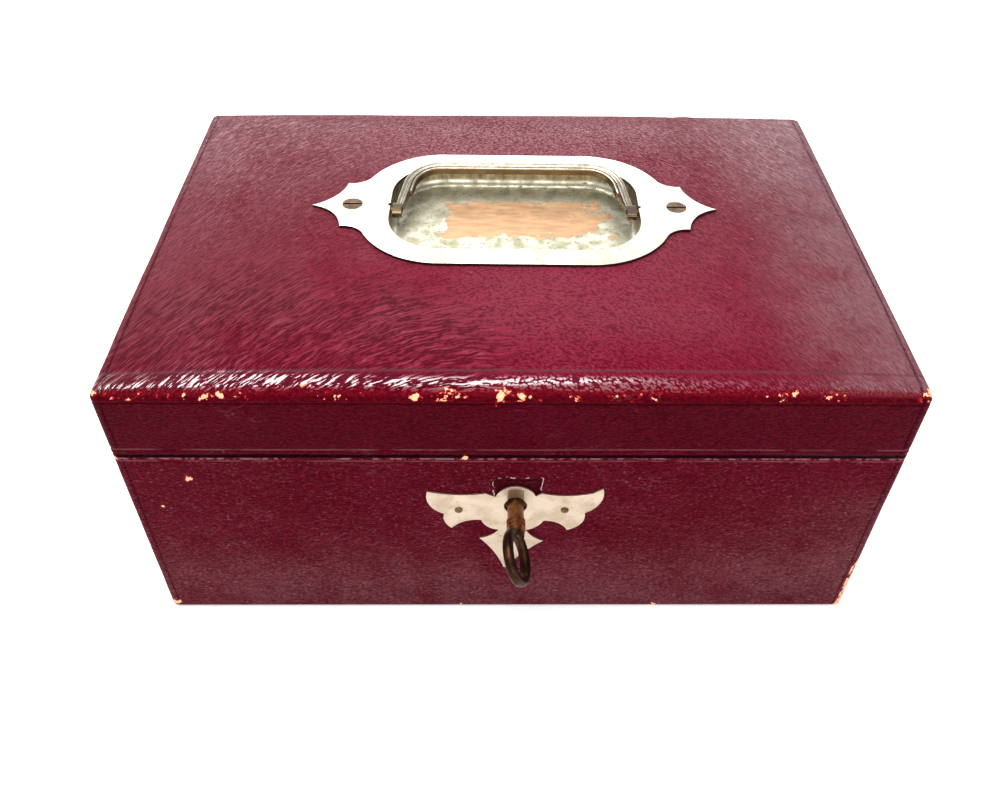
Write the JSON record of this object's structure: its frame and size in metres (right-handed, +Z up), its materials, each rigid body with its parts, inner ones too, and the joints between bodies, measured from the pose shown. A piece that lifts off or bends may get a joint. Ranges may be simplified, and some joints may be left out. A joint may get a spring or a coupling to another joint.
{
  "type": "antique jewellery box",
  "caption": "Leather-covered antique jewellery box with a hinged pillow-shaped lid, flush folding handle, pipe-key lock with a cut-out escutcheon, and a lined lift-out tray.",
  "frame": {"origin": "middle of the underside, where the box rests", "axes": "+X to the right as seen from the front, +Y from the front to the hinges at the back, +Z up"},
  "size_m": [0.28, 0.227, 0.1356],
  "materials": {
    "morocco_leather": "long-grain, worn",
    "underside_leather": "matt paste-grain",
    "carcass_wood": "sawn, bare",
    "silvered_plate": "silvered, worn",
    "pan_metal": "silvering worn through to copper",
    "bail_metal": "polished, tarnished",
    "screw_metal": "brown patina",
    "escutcheon_metal": "silvered, yellowed",
    "key_bronze": "copper-coloured, dark bow",
    "lock_brass": "satin, aged",
    "lock_steel": "filed steel",
    "hinge_brass": "satin, aged",
    "lining_velvet": "silk velvet",
    "lid_silk": "buttoned silk satin",
    "tray_velvet": "velvet over thin board",
    "tab_ribbon": "grosgrain ribbon"
  },
  "bodies": {
    "case": {"base_back_board": "carcass_wood", "base_bottom_board": "carcass_wood", "base_front_board": "carcass_wood", "base_hinge_leaf_left": "hinge_brass", "base_hinge_leaf_right": "hinge_brass", "base_hinge_screws": "hinge_brass", "base_leather": "morocco_leather", "base_left_board": "carcass_wood", "base_lining_back": "lining_velvet", "base_lining_front": "lining_velvet", "base_lining_left": "lining_velvet", "base_lining_right": "lining_velvet", "base_right_board": "carcass_wood", "bottom_cover": "underside_leather", "drill_pin": "lock_steel", "escutcheon": "escutcheon_metal", "escutcheon_pins": "screw_metal", "floor_pad": "lining_velvet", "hinge_pin_left": "hinge_brass", "hinge_pin_right": "hinge_brass", "lock_cap": "lock_brass", "lock_plate": "lock_brass", "lock_screws": "lock_brass", "tray_bearer_left": "lining_velvet", "tray_bearer_right": "lining_velvet"},
    "lid": {"bail_pins": "screw_metal", "handle_pan": "pan_metal", "handle_plate": "silvered_plate", "handle_screws": "screw_metal", "lid_back_rail": "carcass_wood", "lid_front_rail": "carcass_wood", "lid_hinge_leaf_left": "hinge_brass", "lid_hinge_leaf_right": "hinge_brass", "lid_hinge_screws": "hinge_brass", "lid_leather": "morocco_leather", "lid_left_rail": "carcass_wood", "lid_lining_back": "lining_velvet", "lid_lining_front": "lining_velvet", "lid_lining_left": "lining_velvet", "lid_lining_right": "lining_velvet", "lid_pad": "lid_silk", "lid_pad_buttons": "lid_silk", "lid_right_rail": "carcass_wood", "lid_top_panel": "carcass_wood", "link_plate": "lock_brass", "link_screws": "lock_brass"},
    "bail": {"bail": "bail_metal"},
    "key": {"key": "key_bronze"},
    "bolt": {"lock_bolt": "lock_steel"},
    "lever": {"lock_lever": "lock_steel", "lever_spring": "lock_steel"},
    "tray": {"ring_rolls": "tray_velvet", "tray_dividers": "tray_velvet", "tray_floor": "tray_velvet", "tray_frame": "tray_velvet", "tray_pad_back": "tray_velvet", "tray_pad_left": "tray_velvet", "tray_pad_right": "tray_velvet", "tray_tabs": "tab_ribbon"}
  },
  "joints": [
    {"name": "lid_hinge", "type": "hinge", "parent": "case", "child": "lid", "pos_m": [0, 0.093, 0.0933], "axis": [-1, 0, 0], "range_deg": [0, 95]},
    {"name": "bail_swing", "type": "hinge", "parent": "lid", "child": "bail", "pos_m": [0.0019, 0.0022, 0.1298], "axis": [0.9999, -0.0122, 0], "range_deg": [0, 165]},
    {"name": "key_turn", "type": "hinge", "parent": "case", "child": "key", "pos_m": [0.00175, -0.1, 0.0668], "axis": [0, -1, 0], "range_deg": [-27, 63]},
    {"name": "bolt_slide", "type": "slide", "parent": "case", "child": "bolt", "axis": [1, 0, 0], "range_m": [-0.00149, 0.00349]},
    {"name": "lever_swing", "type": "hinge", "parent": "case", "child": "lever", "pos_m": [0.01575, -0.09, 0.0758], "axis": [0, -1, 0], "range_deg": [-2.5, 5.7]},
    {"name": "tray_lift", "type": "slide", "parent": "case", "child": "tray", "axis": [0, 0, 1], "range_m": [0, 0.012]}
  ],
  "couplings": [
    {"joint": "key_turn", "follows": "bolt_slide", "rad_per_m": 314.16},
    {"joint": "lever_swing", "follows": "bolt_slide", "rad_per_m": 27.925}
  ]
}
